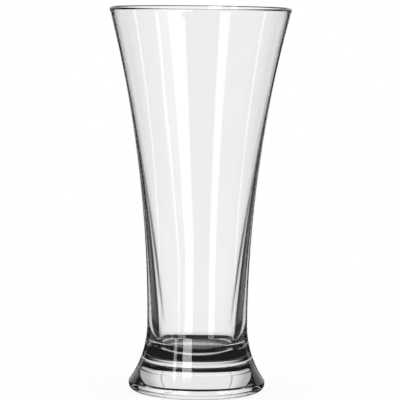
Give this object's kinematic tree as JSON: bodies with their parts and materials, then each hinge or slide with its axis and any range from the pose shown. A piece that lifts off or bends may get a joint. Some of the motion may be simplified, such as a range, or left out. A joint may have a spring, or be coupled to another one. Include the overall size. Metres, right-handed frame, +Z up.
{
  "type": "pilsner glass",
  "caption": "Clear flared beer glass that narrows to a thick waist above a heavy solid base and a spread round foot.",
  "frame": {"origin": "centre of the foot's standing ring, on the table", "axes": "+Z up along the axis of revolution; +X and +Y are a level pair, and -Y faces the camera"},
  "size_m": [0.0828, 0.0828, 0.175],
  "materials": {
    "clear_glass": "clear pressed soda-lime glass, fire-polished"
  },
  "bodies": {
    "root": {"rim": "clear_glass", "bowl": "clear_glass", "waist": "clear_glass", "solid_base": "clear_glass", "foot": "clear_glass"}
  },
  "joints": []
}
